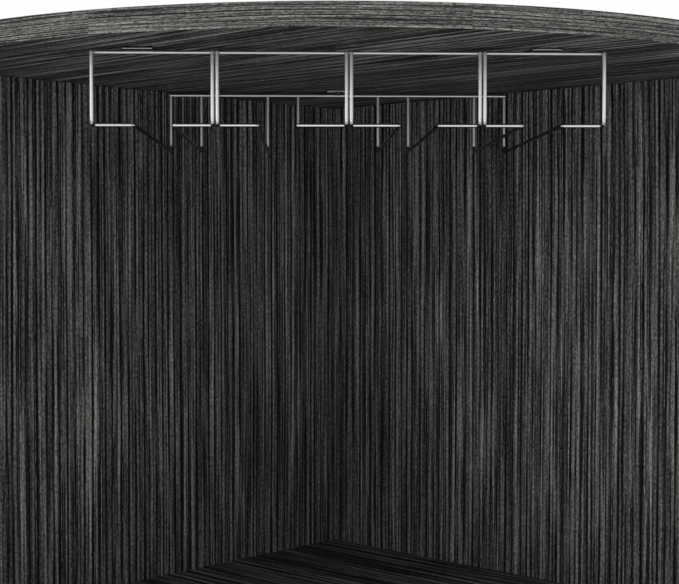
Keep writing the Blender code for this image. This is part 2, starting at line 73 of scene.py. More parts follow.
# Edge bands
band_thickness = 0.001
band_arris = 0.0007
band_seam = 0.00012
band_station = 0.004
top_seam_angles = (-26.2, 11.2)  # degrees round the front from its middle
shelf_seam_left = 0.11  # along the front from its middle
counter_seam_right = 0.16

# Wire rack
wire_radius = 0.0015
wire_bend = 0.004  # at the foot of a front upright
stub_bend = 0.0025  # at both ends of a stub
rear_bend = 0.0065
elbow_reach = 0.007  # from the front uprights back to the stubs
wire_sides = 24
bar_stations = 9
weld_radii = (0.0013, 0.0011, 0.0016)

# Handles
handle_radius = 0.0045
handle_bend = 0.009
handle_sides = 40
collar_radius = 0.0072
collar_height = 0.0016
collar_ease = 0.0007
collar_inner_share = 0.9  # of the rod's radius, where the collar's face ends inside the rod

# Screws
pan_radius = 0.0035
pan_height = 0.0019
rim_start_share = 0.62
rim_drop_share = 0.97
recess_width = 0.00075
recess_reach = 0.0021
recess_depth = 0.0011
recess_slope = 0.00016
recess_taper_share = 0.35
connector_places = (0.10, 0.28, 0.46)  # along a wall from the inner corner
end_connector_heights = (0.15, 0.45, 0.75)
corner_connector_heights = (0.25, 0.75, 1.1, 1.6)
end_connector_at = 0.521  # along the wall to the middle of an end panel's edge

# Hinges
knuckle_radius = 0.003
knuckle_chamfer = 0.00025
knuckle_bore = 0.0015
knuckle_count = 3
leaf_plate = 0.0008
leaf_width = 0.022
leaf_height = 0.050
leaf_bite = 0.0022  # pin axis to the plate's edge at its own knuckles
leaf_notch = 0.00328  # pin axis to the plate's edge at the other leaf's knuckles
leaf_corner = 0.003
leaf_square = 0.0001
leaf_screw_out = 0.0125  # pin axis to the screws
leaf_screw_rows = (-0.018, 0.0, 0.018)
pin_radius = 0.0012
pin_chamfer = 0.0003
pin_button_radius = 0.0022
pin_button_ease = 0.0004

# Other small pieces
plate_corner = 0.0012
plate_arris = 0.00015
peg_shank_radius = 0.0025
peg_shank_length = 0.0095
peg_head_radius = 0.0035
peg_head_length = 0.008
peg_ease = 0.0008
glide_seat = 0.004
glide_foot_ease = 0.0012
glide_top_ease = 0.0004
nail_radius = 0.001
catch_arris = 0.0007
pole_length = 0.014
pole_thickness = 0.0011
pole_pitch = 0.0044
pole_proud = 0.00015
pole_depth = 0.0012
pole_corner = 0.00033
pole_arris = 0.00011
catch_centre = 0.0125

# Camera, from the calibrated view
photo_width = 679
focal_pixels = 1444.8
sensor = 36.0
camera_place = (-0.0367, -1.3185, 1.6306)
camera_down = 1.858  # degrees
camera_right = 1.52

# Soft lamps: place, the point each one faces, width, height and watts
SOFTBOXES = {
    "low_softbox": ((0, -3.2, 0.6), (0, 0, 1.6), 3.2, 1.4, 23),
    "left_softbox": ((-3.4, -2.2, 2.0), (0, 0, 1.4), 2.2, 2.6, 23),
    "back_softbox": ((0, 4.0, 2.8), (0, 0, 1.0), 2.6, 2.0, 30),
}
fill_strength = 0.84
floor_reach = 12.0
floor_cells = 6.0  # a metre

# UV maps of the pieces
MAP = "piece_map"
off_head_place = 9.0  # in a head's map, for what isn't on a head


# Places

def box(node):
    """Lowest and highest corner of a frame node as arrays."""
    low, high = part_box(node)
    return np.array(low), np.array(high)


def middle_of(node):
    """Middle of a frame node's box."""
    low, high = box(node)
    return (low + high) / 2


def by_wall(side, along, off):
    """Plan points beside a wall: along it from the inner corner, and off its inner face into the room."""
    return np.array([side * (along - off) * DIAGONAL, corner_y - (along + off) * DIAGONAL])


def along_wall(side):
    """Unit vector along a wall, away from the inner corner."""
    return np.array([side * DIAGONAL, -DIAGONAL, 0])


def into_room(side):
    """Unit vector from a wall's inner face into the room, which is along the other wall."""
    return along_wall(-side)


def front_at(distance):
    """Plan points and outward directions of the round front at distances along it, from right to left.

    It is straight for the end's length, then a quarter circle of the front's radius, round which its way
    turns from along one wall to along the other, then straight again.
    """
    distance = np.asarray(distance, float)
    turn = np.clip((distance - straight_end) / front_radius, 0, math.pi / 2)
    before = np.clip(straight_end - distance, 0, None)
    after = np.clip(distance - straight_end - arc_length, 0, None)
    along = straight_end + front_radius * np.cos(turn) - after
    off = straight_end + front_radius * np.sin(turn) - before
    outward = np.stack([np.cos(turn) - np.sin(turn), -np.cos(turn) - np.sin(turn)], -1) * DIAGONAL
    return by_wall(1, along, off).T, outward


# Surfaces

def unit(vectors):
    return vectors / np.linalg.norm(vectors, axis=-1, keepdims=True)


def skin(rings, start=None, end=None, looped=False):
    """Closed surface over rings of points, as (points, faces).

    Quads join each point to its neighbours in its own ring and the next one. An end is a flat face, or
    triangles to a pole where one is given. A looped surface joins its last ring to its first.
    """
    count, around = rings.shape[:2]
    index = np.arange(count * around).reshape(count, around)
    ahead = np.roll(index, -1, axis=1)
    above = np.roll(index, -1, axis=0)
    above_ahead = np.roll(ahead, -1, axis=0)
    quads = np.stack([index, ahead, above_ahead, above], -1)
    points = [rings.reshape(-1, 3)]
    if looped:
        return points[0], quads.reshape(-1, 4).tolist()
    faces = quads[:-1].reshape(-1, 4).tolist()
    for pole, ring in ((start, index[0, ::-1]), (end, index[-1])):
        if pole is None:
            faces.append(ring.tolist())
        else:
            number = np.full(around, count * around + len(points) - 1)
            faces += np.stack([ring, np.roll(ring, -1), number], -1).tolist()
            points.append(np.reshape(pole, (1, 3)))
    return np.concatenate(points), faces


def joined(shapes):
    """One surface of several, their faces counted on from one another."""
    points, faces, count = [], [], 0
    for shape_points, shape_faces in shapes:
        points.append(shape_points)
        faces += [[corner + count for corner in face] for face in shape_faces]
        count += len(shape_points)
    return np.concatenate(points), faces


def placed(shape, place=(0, 0, 0), axes=None):
    """A surface carried from its own axes, given as world directions in rows, to its place."""
    points, faces = shape
    if axes is not None:
        points = points @ np.asarray(axes, float)
    return points + np.asarray(place, float), faces


def axes_along(direction):
    """Right-handed axes, in rows, whose third points in a direction."""
    direction = unit(np.asarray(direction, float))
    nearly_upright = abs(direction[2]) > 0.9
    helper = np.array([1.0, 0.0, 0.0]) if nearly_upright else UP
    first = unit(np.cross(helper, direction))
    return np.stack([first, np.cross(direction, first), direction])


def quarter(steps):
    """Angles of a quarter turn, ends included."""
    return np.linspace(0, math.pi / 2, steps + 1)


def rounded_path(corners, bends, steps, closed=False):
    """A path through corners, each replaced by an arc that both its runs touch, all of one radius or not.

    Two runs leave a corner in unit directions p and q with an angle of 2a between them. The arc's centre lies
    radius / sin(a) along p + q. The arc starts radius / tan(a) along p and ends as far along q.
    """
    corners = np.asarray(corners, float)
    inner = range(len(corners)) if closed else range(1, len(corners) - 1)
    path = [] if closed else [corners[:1]]
    for i, radius in zip(inner, np.broadcast_to(bends, len(inner))):
        corner = corners[i]
        back = unit(corners[i - 1] - corner)
        on = unit(corners[(i + 1) % len(corners)] - corner)
        half = math.acos(np.clip(back @ on, -1, 1)) / 2
        centre = corner + unit(back + on) * radius / math.sin(half)
        first = corner + back * radius / math.tan(half) - centre
        last = corner + on * radius / math.tan(half) - centre
        sweep = math.pi - 2 * half
        share = np.linspace(0, 1, steps + 1)[:, None]
        arc = np.sin((1 - share) * sweep) * first + np.sin(share * sweep) * last
        path.append(centre + arc / math.sin(sweep))
    if not closed:
        path.append(corners[-1:])
    return np.concatenate(path)


def rounded_rectangle(low, high, corner, steps):
    """Counter-clockwise outline between two opposite corners, with rounded corners."""
    corners = [(low[0], low[1]), (high[0], low[1]), (high[0], high[1]), (low[0], high[1])]
    return rounded_path(corners, corner, steps, closed=True)


def tube(path, radius, sides=wire_sides, round_ends=True, end_steps=5):
    """Round wire along a path: at each point a circle square to the path.

    Its first direction is square to a slanting guide line that no run of wire is parallel to. A rounded end
    adds circles whose radius follows the cosine of a quarter turn, and their distance past the end its sine.
    """
    ways = unit(np.gradient(path, axis=0))
    radii = np.full(len(path), radius)
    start = end = None
    if round_ends:
        turn = quarter(end_steps)[1:-1]
        lead = np.sin(turn)[:, None] * radius
        start = path[0] - ways[0] * radius
        end = path[-1] + ways[-1] * radius
        path = np.concatenate([path[0] - ways[0] * lead[::-1], path, path[-1] + ways[-1] * lead])
        radii = np.concatenate([radius * np.cos(turn[::-1]), radii, radius * np.cos(turn)])
        ways = np.concatenate([[ways[0]] * len(turn), ways, [ways[-1]] * len(turn)])
    guide = np.array([1.0, 1.3, 0.8])
    first = unit(np.cross(guide, ways))
    second = np.cross(ways, first)
    angle = np.linspace(0, 2 * math.pi, sides, endpoint=False)[None, :, None]
    circle = np.cos(angle) * first[:, None] + np.sin(angle) * second[:, None]
    return skin(path[:, None] + circle * radii[:, None, None], start, end)


def circles(profile, sides):
    """Circles about Z, one for each (radius, height) pair."""
    angle = np.linspace(0, 2 * math.pi, sides, endpoint=False)
    radius = profile[:, :1]
    height = np.repeat(profile[:, 1:], sides, axis=1)
    return np.stack([radius * np.cos(angle), radius * np.sin(angle), height], -1)


def turned(profile, sides=32):
    """Turned solid about Z from (radius, height) pairs up its outside: a pole, then circles, then a pole."""
    profile = np.asarray(profile, float)
    low, high = profile[0, 1], profile[-1, 1]
    return skin(circles(profile[1:-1], sides), (0, 0, low), (0, 0, high))


def rim(radius, height, ease, steps=4):
    """Quarter round of a turned edge: inset by 1 - cosine and lowered by 1 - sine of a quarter turn."""
    turn = quarter(steps)
    return np.stack([radius - ease * (1 - np.cos(turn)), height - ease * (1 - np.sin(turn))], -1)


def bead(place, radii, sides=12, rows=6):
    """Weld bead: a ball, whose rings follow the sine and cosine of a half turn, stretched to three radii."""
    turn = np.linspace(math.pi, 0, rows + 1)
    points, faces = turned(np.stack([np.sin(turn), np.cos(turn)], -1), sides)
    return points * np.asarray(radii) + np.asarray(place), faces


def inward(outline):
    """For a counter-clockwise outline, how each corner moves when all its sides move in by one."""
    sides = unit(np.roll(outline, -1, axis=0) - outline)
    normals = np.stack([-sides[:, 1], sides[:, 0]], -1)
    before = np.roll(normals, 1, axis=0)
    return (before + normals) / (1 + np.sum(before * normals, axis=1, keepdims=True))


def slab(outline, low, high, ease=arris, steps=arris_steps):
    """Board of a counter-clockwise outline between two heights, with rounded arrises.

    Each ring is the outline moved in. Through an arris the inset follows 1 - sine of a quarter turn and the
    height 1 - cosine. One more ring past each arris keeps the side flat.
    """
    turn = quarter(steps)
    inset = np.concatenate([ease * (1 - np.sin(turn)), [0]])
    climb = np.concatenate([ease * (1 - np.cos(turn)), [ease * side_ring_share]])
    insets = np.concatenate([inset, inset[::-1]])
    heights = np.concatenate([low + climb, high - climb[::-1]])
    plan = outline[None] + inward(outline)[None] * insets[:, None, None]
    height = np.broadcast_to(heights[:, None, None], (*plan.shape[:2], 1))
    return skin(np.concatenate([plan, height], -1))


def upright_slab(low, high, corner, ease, corner_steps=5, ease_steps=2):
    """Slab that stands on edge and faces -Y, between two opposite corners of its box."""
    outline = rounded_rectangle(low[[0, 2]], high[[0, 2]], corner, corner_steps)
    return placed(slab(outline, -high[1], -low[1], ease, ease_steps), axes=[(1, 0, 0), UP, (0, -1, 0)])


def screw_head(radius=pan_radius, height=pan_height, reach=recess_reach, rings=26, sides=72):
    """Head with a cross recess, facing +Z, whose underside is at zero.

    Its height over a polar grid is flat with a rounded rim. Inside the cross, where the lesser of the two
    distances from the arms' middle lines is under half an arm's width and the greater is under the arms'
    reach, it drops by the recess's depth, less towards the arms' ends. The recess's walls slope.
    """
    flatness = height / pan_height
    share = np.linspace(1, 0, rings + 1)[:-1]
    turn = np.linspace(0, 2 * math.pi, sides, endpoint=False)
    r, a = np.meshgrid(radius * share, turn, indexing="ij")
    x, y = r * np.cos(a), r * np.sin(a)
    in_rim = np.clip((r / radius - rim_start_share) / (1 - rim_start_share), 0, 1)
    off_arm = np.minimum(np.abs(x), np.abs(y)) - recess_width / 2
    past_end = np.maximum(np.abs(x), np.abs(y)) - reach
    inside = np.clip(-np.maximum(off_arm, past_end) / recess_slope + 0.5, 0, 1)
    depth = recess_depth * flatness * (1 - recess_taper_share * r / reach)
    z = height * np.sqrt(1 - in_rim ** 2 * rim_drop_share) - depth * inside
    foot = np.stack([x[:1], y[:1], np.zeros((1, sides))], -1)
    face = np.stack([x, y, z], -1)
    return skin(np.concatenate([foot, face]), end=(0, 0, height - recess_depth * flatness))


def flush_head():
    """Countersunk head that stands hardly proud of its plate."""
    return screw_head(radius=0.0029, height=0.0001, reach=0.0018)


# Pieces

def add_to_scene(name, data):
    """An object of some data, in the scene."""
    thing = bpy.data.objects.new(name, data)
    bpy.context.scene.collection.objects.link(thing)
    return thing


def add_piece(name, shape, finish, replaces=(), body="carcass", uv=None):
    """Puts a surface in the scene as one piece: its big flat faces stay flat, and the rest is shaded smooth.

    uv, where given, has each point's place in the UV map: metres along and across the grain, or a place on a
    screw head.
    """
    points, faces = shape
    mesh = bpy.data.meshes.new(name)
    mesh.from_pydata(points.tolist(), [], faces)
    mesh.shade_smooth()
    mesh.set_sharp_from_angle(angle=math.radians(32))
    flat = np.array([len(face) > 4 for face in faces])
    smooth = np.zeros(len(faces), bool)
    mesh.polygons.foreach_get("use_smooth", smooth)
    mesh.polygons.foreach_set("use_smooth", smooth & ~flat)
    if uv is not None:
        corners = np.zeros(len(mesh.loops), np.int32)
        mesh.loops.foreach_get("vertex_index", corners)
        mesh.uv_layers.new(name=MAP).data.foreach_set("uv", uv[corners].astype(np.float32).ravel())
    mesh.materials.append(finish)
    mesh.update()
    piece = add_to_scene(name, mesh)
    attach(piece, body)
    if replaces:
        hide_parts(*replaces)


def add_headed_piece(name, plain, head, spots, facing, finish, replaces=(), body="carcass"):
    """Puts plain shapes and equal screw heads in the scene as one piece.

    Its UV map is the place of a point on its head's face, in shares of the head's radius, and far out on the
    rest.
    """
    axes = axes_along(facing)
    shapes = [*plain, *(placed(head, spot, axes) for spot in spots)]
    off_heads = [np.full((len(points), 2), off_head_place) for points, faces in plain]
    on_head = head[0][:, :2] / np.abs(head[0][:, 0]).max()
    uv = np.concatenate([*off_heads, *[on_head] * len(spots)])
    add_piece(name, joined(shapes), finish, replaces, body, uv)


# Nodes

def math_method(operation, reflected=False):
    """A method of Value that adds a Math node. The value is its first number, or its last where reflected."""
    def add_math(value, *others):
        numbers = (*others, value) if reflected else (value, *others)
        return value.tree.node("ShaderNodeMath", {"operation": operation}, dict(enumerate(numbers)))
    return add_math


class Value:
    """An output of a node, on which arithmetic adds Math nodes."""

    def __init__(self, tree, socket):
        self.tree = tree
        self.socket = socket

    __add__ = __radd__ = math_method("ADD")
    __sub__ = math_method("SUBTRACT")
    __rsub__ = math_method("SUBTRACT", reflected=True)
    __mul__ = __rmul__ = math_method("MULTIPLY")
    __pow__ = math_method("POWER")
    __abs__ = math_method("ABSOLUTE")
    least = math_method("MINIMUM")
    greatest = math_method("MAXIMUM")

    def rise(self, low, high):
        """0 below low, 1 above high and smooth between them, or the other way round where low is greater."""
        start, end = (0.0, 1.0) if low < high else (1.0, 0.0)
        inputs = {0: self, 1: min(low, high), 2: max(low, high), 3: start, 4: end}
        return self.tree.node("ShaderNodeMapRange", {"interpolation_type": "SMOOTHSTEP"}, inputs)


class Tree:
    """A node tree under construction, with one method that adds any node."""

    def __init__(self, tree):
        self.tree = tree

    def node(self, kind, settings=None, inputs=None, output=0):
        """Adds a node, makes its settings, fills its sockets with values or links, and gives one output."""
        made = self.tree.nodes.new(kind)
        for key, value in (settings or {}).items():
            setattr(made, key, value)
        for key, value in (inputs or {}).items():
            self.feed(made.inputs[key], value)
        return Value(self, made.outputs[output])

    def feed(self, socket, value):
        if isinstance(value, Value):
            self.tree.links.new(value.socket, socket)
        else:
            socket.default_value = value


class Finish(Tree):
    """A material under construction."""

    def __init__(self, name):
        self.material = bpy.data.materials.new(name)
        self.material.use_nodes = True
        super().__init__(self.material.node_tree)

    def along(self, vector, direction, scale=1.0):
        """How far a vector reaches along a direction, times a scale."""
        direction = tuple(float(x) * scale for x in direction)
        return self.node("ShaderNodeVectorMath", {"operation": "DOT_PRODUCT"}, {0: vector, 1: direction}, 1)

    def place(self, *directions):
        """Object coordinates in millimetres along each direction, or along X, Y and Z."""
        coordinates = self.node("ShaderNodeTexCoord", output="Object")
        return [self.along(coordinates, direction, 1 / MILLIMETRE) for direction in directions or np.eye(3)]

    def map_place(self, scale=1.0):
        """Both coordinates of the piece's own UV map, times a scale."""
        place = self.node("ShaderNodeUVMap", {"uv_map": MAP})
        return self.along(place, (1, 0, 0), scale), self.along(place, (0, 1, 0), scale)

    def noise(self, x, y=0.0, z=0.0, detail=2.0):
        """Noise from 0 to 1 about a half, over a place given in cells."""
        place = self.node("ShaderNodeCombineXYZ", None, {0: x, 1: y, 2: z})
        inputs = {"Vector": place, "Scale": 1.0, "Detail": detail, "Roughness": 0.5, "Distortion": 0.0}
        return self.node("ShaderNodeTexNoise", {"noise_dimensions": "3D"}, inputs)

    def grain(self, place, cells, detail=2.0):
        """Noise over a place in millimetres, of so many cells a millimetre along each axis."""
        shares = [float(share) for share in np.broadcast_to(cells, 3)]
        return self.noise(*(axis * share for axis, share in zip(place, shares)), detail)

    def dark_line(self, place, seed, cells, edge, core):
        """1 near the borders of a row of uneven cells, so many a millimetre, and 0 away from them."""
        settings = {"voronoi_dimensions": "1D", "feature": "DISTANCE_TO_EDGE"}
        inputs = {"W": place * cells + seed, "Scale": 1.0, "Randomness": 1.0}
        return self.node("ShaderNodeTexVoronoi", settings, inputs).rise(edge, core)

    def blend(self, share, a, b):
        """Colour that goes from a to b with a share."""
        return self.node("ShaderNodeMix", {"data_type": "RGBA"}, {0: share, 6: a, 7: b}, 2)

    def bump(self, height, strength, distance):
        inputs = {"Height": height, "Strength": strength, "Distance": distance}
        return self.node("ShaderNodeBump", None, inputs)

    def finished(self, **values):
        shader = self.tree.nodes["Principled BSDF"]
        for key, value in values.items():
            self.feed(shader.inputs[key.replace("_", " ")], value)
        return self.material


def toned(grey, red=1.0, green=1.0, blue=1.0):
    """A grey's colour, with each of its channels at a share of it."""
    return grey * red, grey * green, grey * blue, 1.0


# Oak

OAK_DARK = (0.0030, 0.0030, 0.0028, 1.0)
OAK_PALE = (0.560, 0.555, 0.530, 1.0)
oak_rough = 0.62
pale_smoother = 0.16
groove_rougher = 0.12
ground_relief = 0.5
groove_relief = 0.8
nick_relief = 0.4

# Noises of the figure: cells a millimetre across and along the grain, a place of its own, detail, and the
# levels between which it rises from 0 to 1
OAK_NOISES = {
    "stripe": (0.16, 0.0016, 23.9, 1.0, 0.25, 0.75),
    "streak": (0.30, 0.0045, 37.1, 1.0, 0.25, 0.75),
    "hair": (0.70, 0.012, 41.3, 1.0, 0.20, 0.80),
    "fleck": (0.45, 0.14, 47.7, 2.0, 0.25, 0.75),
    "dash": (0.62, 0.34, 61.9, 2.0, 0.25, 0.75),
    "groove_depth": (0.10, 0.008, 71.3, 1.0, 0.34, 0.60),
    "nick_depth": (0.20, 0.010, 83.1, 1.0, 0.38, 0.60),
}
sway_cells = (0.0025, 0.004)  # a millimetre, along and across the grain
sway_place = 3.1
tremble_cells = 0.12
tremble_place = 5.7
tremble_reach = 1.2  # millimetres
nick_sway_share = 0.6

# Dark lines along cell borders: cells a millimetre, and in cells the reach of a line and of its dark core
GROOVE_LINE = (0.115, 0.19, 0.05)
NICK_LINE = (0.23, 0.26, 0.06)
shallow_groove_share = 0.25  # of its depth, kept where a groove fades
nick_place_share = 1.7

# Cuts of the oak. Spread and stretch size the figure across and along the grain, drift is how far it sways in
# millimetres, groove and nick are how dark those are, and power is the contrast.
WALL_CUT = {
    "spread": 1.0, "stretch": 1.0, "drift": 7.0, "groove": 0.86, "nick": 0.74, "power": 2.6,
    "weights": {"stripe": 0.16, "streak": 0.30, "hair": 0.18, "fleck": 0.10, "dash": 0.26},
}
PLAN_CUT = {
    "spread": 1.35, "stretch": 1.0, "drift": 7.0, "groove": 0.92, "nick": 0.70, "power": 2.7,
    "weights": {"stripe": 0.26, "streak": 0.30, "hair": 0.18, "fleck": 0.10, "dash": 0.16},
}
BAND_CUT = {
    "spread": 0.34, "stretch": 0.8, "drift": 24.0, "groove": 0.74, "nick": 0.62, "power": 2.3,
    "weights": {"stripe": 0.06, "streak": 0.20, "hair": 0.18, "fleck": 0.27, "dash": 0.29},
}

# Tones of the boards, and where a face turns into an edge
plan_tone = 0.98
# Painted light and shade: the top board is a lighter copy of the plan oak for its underside lit from below,
# and the display shelf a darker copy for the top's shadow over it
top_painted_light_tone = 1.25 * plan_tone
shelf_painted_shade_tone = 0.85 * plan_tone
# Paler edge band: partly the band's own paler tone, partly painted light for its face turned to the front
band_tone_and_light = 1.12
face_to_edge = (0.75, 0.45)  # how far a surface's direction reaches out of its board

# Place of each board's figure in the noises
OAK_SEEDS = {
    "left_back_panel": 13.0, "right_back_panel": 44.0, "left_end_panel": 131.0, "right_end_panel": 148.0,
    "base_panel": 211.0, "cubby_floor": 223.0, "cubby_cross_shelf": 239.0, "adjustable_shelf": 251.0,
    "plinth_board": 263.0, "cubby_divider_left": 307.0, "cubby_divider_centre": 326.0,
    "cubby_divider_right": 345.0, "top_panel": 17.0, "display_shelf": 71.0, "counter_panel": 97.0,
    "doors": 401.0,
}
band_seed_step = 7.0


def oak_surface(f, run, width, seed, cut, tone=1.0):
    """Grooved dark oak from millimetres along and across the grain.

    The ground is a sum of noises drawn out along the grain, from broad stripes to short dashes. Grooves and
    slighter nicks lie along the borders of rows of uneven cells, and they come and go. A slow sway and a fine
    tremble carry all of it. A power darkens the dark lines more than the pale ones.
    """
    run = run * (1 / cut["stretch"])
    width = width * (1 / cut["spread"])
    sway = f.noise(run * sway_cells[0], width * sway_cells[1], seed + sway_place) - 0.5
    tremble = f.noise(run * tremble_cells, width * tremble_cells, seed + tremble_place) - 0.5
    place = width + sway * cut["drift"] + tremble * tremble_reach
    nick_place = width + sway * (cut["drift"] * nick_sway_share) - tremble * tremble_reach

    def layer(name):
        across, along, own_place, detail, low, high = OAK_NOISES[name]
        return f.noise(place * across, run * along, seed + own_place, detail).rise(low, high)

    ground = sum(layer(name) * weight for name, weight in cut["weights"].items())
    groove_depth = layer("groove_depth") * (1 - shallow_groove_share) + shallow_groove_share
    groove = f.dark_line(place, seed, *GROOVE_LINE) * groove_depth
    nick = f.dark_line(nick_place, seed * nick_place_share, *NICK_LINE) * layer("nick_depth")
    shade = (ground * (1 - groove * cut["groove"]) * (1 - nick * cut["nick"])) ** cut["power"]
    height = ground * ground_relief - groove * groove_relief - nick * nick_relief
    return f.finished(
        Base_Color=f.blend(shade * tone, OAK_DARK, OAK_PALE),
        Roughness=oak_rough - ground * pale_smoother + groove * groove_rougher,
        Specular_IOR_Level=0.09,
        Normal=f.bump(height, strength=0.4, distance=0.0003),
    )


def oak_board(name, along, across, seed, cut=WALL_CUT, tone=1.0):
    """Oak on a flat board, with the grain along one direction. On the edges it runs along the edge."""
    f = Finish(name)
    through = np.cross(along, across)
    run, width, depth = f.place(along, across, through)
    normal = f.node("ShaderNodeTexCoord", output="Normal")
    edge = abs(f.along(normal, through)).rise(*face_to_edge)
    return oak_surface(f, run + width * edge, width * (1 - edge) + depth * edge, seed, cut, tone)


def oak_band(name, seed):
    """Oak edge band that follows its piece's UV map: metres along the edge, then up it."""
    f = Finish(name)
    run, width = f.map_place(1 / MILLIMETRE)
    return oak_surface(f, run, width, seed, BAND_CUT, band_tone_and_light)


# Metal and plastic

CHROME_EDGE = (0.40, 0.40, 0.41, 1.0)  # what chrome keeps of its glare where it is seen edge on
chrome_cloud_cells = 0.12  # a millimetre, as all cells below
chrome_cloud_rough = 0.05
cloud_levels = (0.3, 0.7)
peel_cells = 1.4
# Below a height on the rails: smoother, with a darker grey that is painted shade
shaded_zone_rough = 0.06
painted_shade_grey = 0.49
shaded_zone_fade = 0.002
zinc_cloud_cells = 0.35
zinc_rough = 0.26
zinc_cloud_rough = 0.12
brush_cells = (5.0, 5.0, 0.5)
brush_rough = 0.10
recess_arm_share = 0.11
recess_reach_share = 0.60
recess_edge_shares = (0.04, -0.02)
recess_painted_shade_share = 0.08
PLASTIC_DARK = (0.012, 0.012, 0.013, 1.0)
PLASTIC_PALE = (0.026, 0.026, 0.027, 1.0)
eggshell_cells = 2.2
plastic_rough = 0.44
eggshell_rough = 0.2


def chrome(name, grey, rough, painted_shade_below=None):
    """Satin chrome: faint clouds in its tone and roughness, and a fine orange-peel over the metal under it.

    Below a height, where one is given, it is smoother, and its darker tone there is painted shade for the
    rails and the uprights' feet, which reflect the dark bay.
    """
    f = Finish(name)
    place = f.place()
    cloud = f.grain(place, chrome_cloud_cells)
    peel = f.grain(place, peel_cells, detail=1.0)
    warm, cool = toned(grey, red=0.96, green=0.97), toned(grey, green=1.01, blue=1.03)
    tint = f.blend(cloud.rise(*cloud_levels), warm, cool)
    roughness = rough + cloud * chrome_cloud_rough
    # Painted shade below the height: a darker grey where the rails reflect the dark inside of the bay
    if painted_shade_below is not None:
        height = place[2]
        shaded_zone = height.rise((painted_shade_below + shaded_zone_fade) / MILLIMETRE, painted_shade_below / MILLIMETRE)
        roughness = roughness * (1 - shaded_zone) + shaded_zone * shaded_zone_rough
        tint = f.blend(shaded_zone, tint, toned(painted_shade_grey, red=0.98, green=0.99))
    return f.finished(
        Base_Color=tint,
        Metallic=1.0,
        Specular_Tint=CHROME_EDGE,
        Roughness=roughness,
        Normal=f.bump(peel, strength=0.05, distance=0.00005),
    )


def cross_recess(f):
    """1 in the cross recess that screw_head shapes and 0 beside it, from the UV map of the head."""
    x, y = (abs(way) for way in f.map_place())
    off_arm = x.least(y) - recess_arm_share
    past_end = x.greatest(y) - recess_reach_share
    return off_arm.greatest(past_end).rise(*recess_edge_shares)


def zinc(name, pale=0.64, dark=0.42, headed=False):
    """Zinc-plated steel: fine brushed lines under a cloudy grey plating, with painted shade in the cross
    recesses of its heads.
    """
    f = Finish(name)
    place = f.place()
    cloud = f.grain(place, zinc_cloud_cells, detail=3.0)
    brushed = f.grain(place, brush_cells)
    tint = f.blend(cloud, toned(dark, green=1.02, blue=1.05), toned(pale, green=1.01, blue=1.03))
    if headed:
        # Painted shade: the cross recesses are coloured near black
        tint = f.blend(cross_recess(f), tint, toned(dark * recess_painted_shade_share))
    return f.finished(
        Base_Color=tint,
        Metallic=1.0,
        Roughness=zinc_rough + cloud * zinc_cloud_rough + brushed * brush_rough,
        Normal=f.bump(brushed, strength=0.12, distance=0.00004),
    )


def black_plastic(name):
    """Moulded black plastic with a fine eggshell grain."""
    f = Finish(name)
    eggshell = f.grain(f.place(), eggshell_cells)
    return f.finished(
        Base_Color=f.blend(eggshell, PLASTIC_DARK, PLASTIC_PALE),
        Roughness=plastic_rough + eggshell * eggshell_rough,
        Normal=f.bump(eggshell, strength=0.25, distance=0.0001),
    )


# Oak on the frame's own boards

def dress(node, name, along, across, cut=WALL_CUT, tone=1.0):
    """Gives a frame node its oak."""
    finish = oak_board(name, along, across, OAK_SEEDS[node], cut, tone)
    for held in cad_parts[node].material_slots:
        held.material = finish


def dress_boards():
    """Boards that keep their frame shape: upright grain on walls and end panels, level grain on the rest."""
    x, y = (1, 0, 0), (0, 1, 0)
    for name, side in SIDES.items():
        dress(name + "_back_panel", name + "_wall_oak", UP, along_wall(side))
        dress(name + "_end_panel", name + "_end_oak", UP, into_room(side))
    for node in ("base_panel", "cubby_floor", "cubby_cross_shelf", "adjustable_shelf"):
        dress(node, node + "_oak", x, y, PLAN_CUT, plan_tone)
    dress("plinth_board", "plinth_oak", x, UP)
    for name in ("left", "centre", "right"):
        dress("cubby_divider_" + name, f"divider_{name}_oak", y, UP)


# Round-front boards

def band_profile(thickness):
    """Section of an edge band as (outset, height) rows: upper arris, lower arris, then the inner side."""
    turn = quarter(arris_steps)
    inset, drop = band_arris * (1 - np.sin(turn)), band_arris * (1 - np.cos(turn))
    upper = np.stack([-inset, thickness - drop], -1)
    lower = np.stack([-inset, drop], -1)[::-1]
    inner = [(-band_thickness, 0), (-band_thickness, thickness)]
    return np.concatenate([upper, lower, inner])


def edge_band(name, start, stop, low, thickness, finish):
    """Edge band over a stretch of the round front: its cross-section carried along the front."""
    count = max(2, round((stop - start) / band_station))
    distance = np.linspace(start, stop, count + 1)
    plan, outward = front_at(distance)
    profile = band_profile(thickness)
    flat = plan[:, None] + outward[:, None] * profile[None, :, :1]
    height = np.broadcast_to(low + profile[None, :, 1:], (*flat.shape[:2], 1))
    rings = np.concatenate([flat, height], -1)
    run = np.repeat(distance, len(profile))
    rise = np.tile(profile[:, 1] - profile[:, 0], len(distance))
    add_piece(name, skin(rings), finish, uv=np.stack([run, rise], -1))


def round_front_board(node, name, wall_offset, seams, tone=plan_tone):
    """Board with straight back edges and a banded round front, whose band has butt seams along it."""
    low, high = box(node)
    arc = np.linspace(straight_end, straight_end + arc_length, arc_steps + 1)
    distance = np.concatenate([[wall_offset], arc, [front_length - wall_offset]])
    plan, outward = front_at(distance)
    front = plan - outward * band_thickness
    outline = np.concatenate([by_wall(1, wall_offset, wall_offset)[None], front])
    core = slab(outline, low[2], high[2], ease=0.0002, steps=1)
    finish = oak_board(name + "_oak", along_wall(1), -into_room(1), OAK_SEEDS[node], PLAN_CUT, tone)
    add_piece(name, core, finish, [node])
    stops = [distance[0], *seams, distance[-1]]
    for number, (start, stop) in enumerate(zip(stops, stops[1:]), 1):
        band = oak_band(f"{name}_band_oak_{number}", OAK_SEEDS[node] + band_seed_step * number)
        label = f"{name}_edge_band_{number}"
        edge_band(label, start + band_seam / 2, stop - band_seam / 2, low[2], high[2] - low[2], band)


